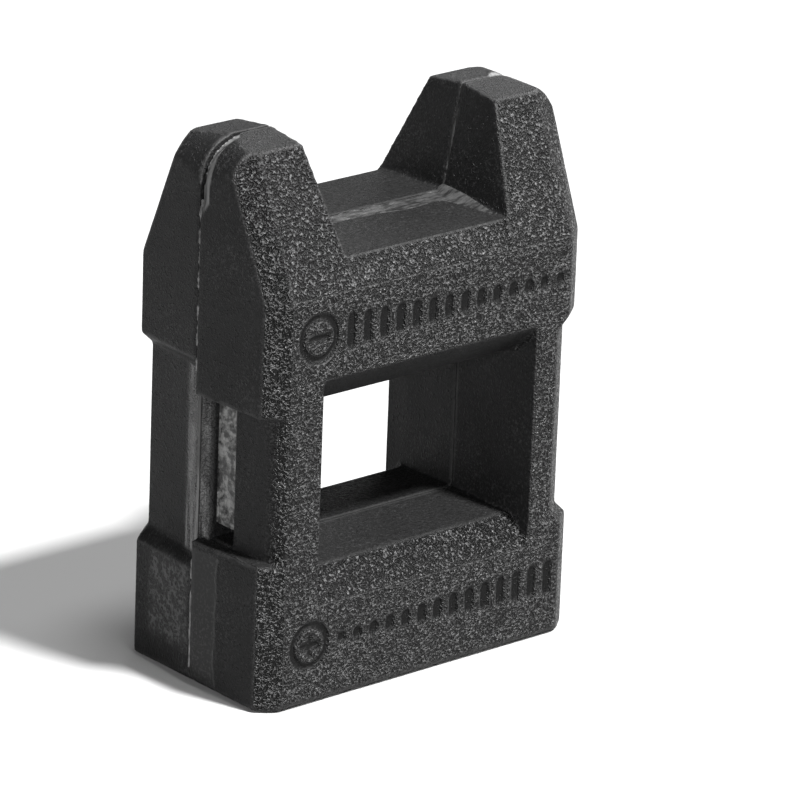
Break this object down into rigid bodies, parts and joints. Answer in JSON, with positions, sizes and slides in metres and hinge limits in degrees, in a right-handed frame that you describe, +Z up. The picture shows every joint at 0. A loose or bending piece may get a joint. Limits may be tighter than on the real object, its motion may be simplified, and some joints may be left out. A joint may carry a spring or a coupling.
{
  "type": "pocket magnetizer and demagnetizer",
  "caption": "Pocket block that magnetizes a tool passed through its window between magnets and demagnetizes it in the open notch between its horns.",
  "frame": {"origin": "middle of the base, on the surface the object stands on", "axes": "+Z up through the horns, +X to the right across the window, -Y towards the front face; the halves meet on the plane Y = 0"},
  "size_m": [0.04, 0.0216, 0.0545],
  "materials": {
    "shell": "black moulded plastic with a coarse leather grain on the outer faces and a fine satin on the sides",
    "magnet": "dull plated magnet",
    "adhesive": "grey cured adhesive, rough where it was smeared"
  },
  "bodies": {
    "root": {"front_shell": "shell", "rear_shell": "shell", "seam_adhesive": "adhesive", "left_post_magnet": "magnet", "right_post_magnet": "magnet", "left_magnet_adhesive": "adhesive", "right_magnet_adhesive": "adhesive", "left_horn_magnet": "magnet", "right_horn_magnet": "magnet"}
  },
  "joints": []
}
